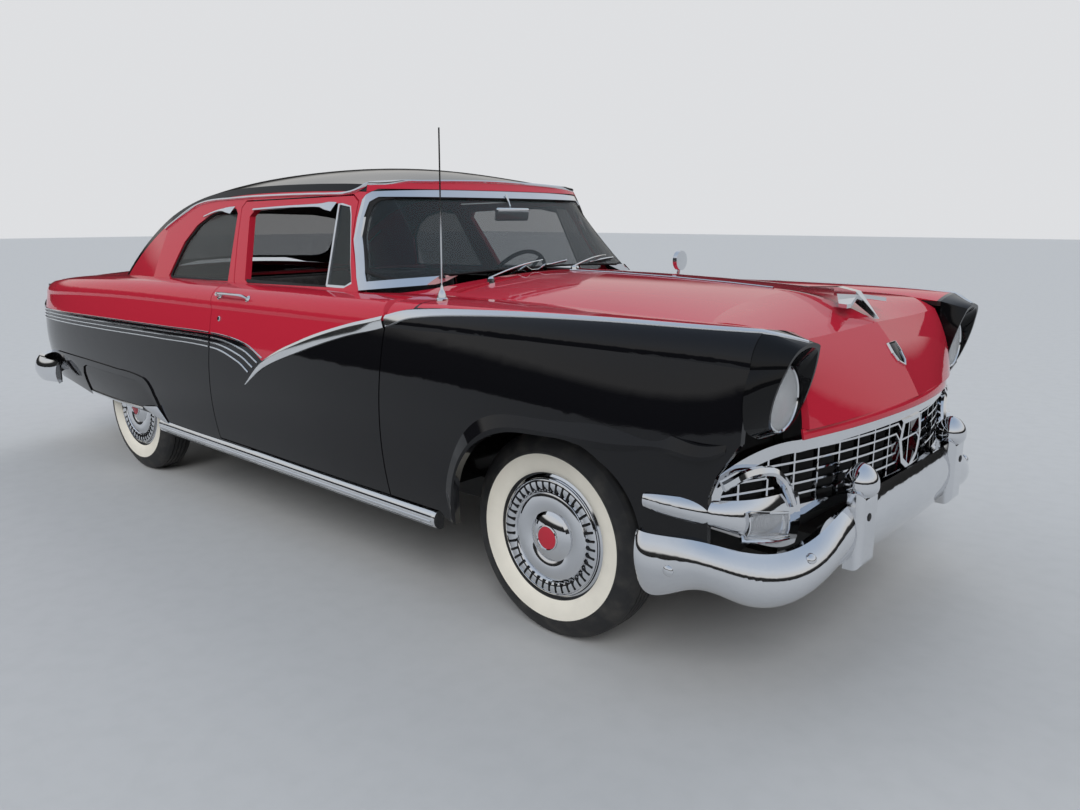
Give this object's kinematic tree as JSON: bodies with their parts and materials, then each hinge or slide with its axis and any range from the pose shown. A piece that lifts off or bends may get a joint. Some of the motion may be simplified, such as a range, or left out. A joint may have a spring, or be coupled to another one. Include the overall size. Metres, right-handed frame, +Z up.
{
  "type": "two-door family car",
  "caption": "Two-door 1950s family car with opening doors, hood and trunk lid, steered front wheels, free-turning wheels and a furnished cabin.",
  "frame": {"origin": "on the road under the middle of the car's length and width", "axes": "+X forward, +Y to the car's left, +Z up"},
  "size_m": [5.0424, 1.9582, 1.617],
  "materials": {
    "red_paint": "high gloss enamel",
    "black_paint": "high gloss enamel",
    "chassis_black": "satin",
    "chrome": "mirror plated",
    "bright_trim": "ribbed bright",
    "tyre": "rubber with a pale side band",
    "window_glass": "clear",
    "lens_glass": "fluted clear",
    "red_lens": "ribbed red lens",
    "seat_fabric": "dark woven cloth with red edging",
    "cabin_paint": "gloss",
    "wheel_plastic": "gloss",
    "cast_parts": "oily",
    "radiator_core": "matt black",
    "bare_steel": "dull"
  },
  "bodies": {
    "body": {"front_fender_left": "black_paint", "front_fender_right": "black_paint", "quarter_panel_left": "red_paint", "quarter_panel_right": "red_paint", "wheel_skirts": "black_paint", "roof": "black_paint", "rear_window": "window_glass", "windshield_frame": "chrome", "windshield": "window_glass", "cowl": "red_paint", "rear_deck": "red_paint", "tail_panel": "black_paint", "plate_bracket": "chrome", "quarter_glass": "window_glass", "lamp_housings": "black_paint", "headlamps": "lens_glass", "lamp_pods": "chrome", "grille_surround": "chrome", "grille": "chrome", "front_bumper": "chrome", "front_guards": "chrome", "rear_bumper": "chrome", "rear_guards": "chrome", "tail_lamps": "red_lens", "rocker_mouldings": "bright_trim", "floor_pan": "chassis_black", "chassis": "chassis_black", "dashboard": "cabin_paint", "steering_column": "wheel_plastic", "front_seat": "seat_fabric", "rear_seat": "seat_fabric", "engine": "cast_parts", "radiator": "radiator_core", "fuel_tank": "bare_steel", "exhaust": "bare_steel", "driveshaft": "bare_steel", "rear_axle": "cast_parts", "front_suspension": "cast_parts", "antenna": "chrome", "mirror": "chrome"},
    "door_left": {"door_left": "red_paint"},
    "door_right": {"door_right": "red_paint"},
    "hood": {"hood": "red_paint", "hood_ornament": "chrome"},
    "trunk_lid": {"trunk_lid": "red_paint"},
    "steering_wheel": {"steering_wheel": "wheel_plastic"},
    "knuckle_left": {"knuckle_left": "cast_parts"},
    "knuckle_right": {"knuckle_right": "cast_parts"},
    "wheel_front_left": {"tyre_front_left": "tyre", "wheel_front_left": "chrome"},
    "wheel_front_right": {"tyre_front_right": "tyre", "wheel_front_right": "chrome"},
    "wheel_rear_left": {"tyre_rear_left": "tyre", "wheel_rear_left": "chrome"},
    "wheel_rear_right": {"tyre_rear_right": "tyre", "wheel_rear_right": "chrome"}
  },
  "joints": [
    {"name": "spin_front_left", "type": "hinge", "parent": "knuckle_left", "child": "wheel_front_left", "pos_m": [1.65, 0.7365, 0.34], "axis": [0, 1, 0], "continuous": true},
    {"name": "spin_front_right", "type": "hinge", "parent": "knuckle_right", "child": "wheel_front_right", "pos_m": [1.65, -0.7365, 0.34], "axis": [0, 1, 0], "continuous": true},
    {"name": "spin_rear_left", "type": "hinge", "parent": "body", "child": "wheel_rear_left", "pos_m": [-1.284, 0.711, 0.34], "axis": [0, 1, 0], "continuous": true},
    {"name": "spin_rear_right", "type": "hinge", "parent": "body", "child": "wheel_rear_right", "pos_m": [-1.284, -0.711, 0.34], "axis": [0, 1, 0], "continuous": true},
    {"name": "steer_right", "type": "hinge", "parent": "body", "child": "knuckle_right", "pos_m": [1.65, -0.65, 0.34], "axis": [0, 0, 1], "range_deg": [-28, 28]},
    {"name": "steer_left", "type": "hinge", "parent": "body", "child": "knuckle_left", "pos_m": [1.65, 0.65, 0.34], "axis": [0, 0, 1], "range_deg": [-28, 28]},
    {"name": "steering_wheel_turn", "type": "hinge", "parent": "body", "child": "steering_wheel", "pos_m": [0.395, 0.365, 0.985], "axis": [-0.8829, 0, 0.4695], "range_deg": [-560, 560]},
    {"name": "door_left_hinge", "type": "hinge", "parent": "body", "child": "door_left", "pos_m": [1, 0.967, 0.7], "axis": [0, 0, -1], "range_deg": [0, 65]},
    {"name": "door_right_hinge", "type": "hinge", "parent": "body", "child": "door_right", "pos_m": [1, -0.967, 0.7], "axis": [0, 0, 1], "range_deg": [0, 65]},
    {"name": "hood_hinge", "type": "hinge", "parent": "body", "child": "hood", "pos_m": [1.043, 0, 1.122], "axis": [0, -1, 0], "range_deg": [0, 45]},
    {"name": "trunk_hinge", "type": "hinge", "parent": "body", "child": "trunk_lid", "pos_m": [-1.563, 0, 1.074], "axis": [0, 1, 0], "range_deg": [0, 60]}
  ],
  "couplings": [
    {"joint": "steer_left", "follows": "steer_right", "ratio": 1},
    {"joint": "steering_wheel_turn", "follows": "steer_right", "ratio": 20}
  ]
}
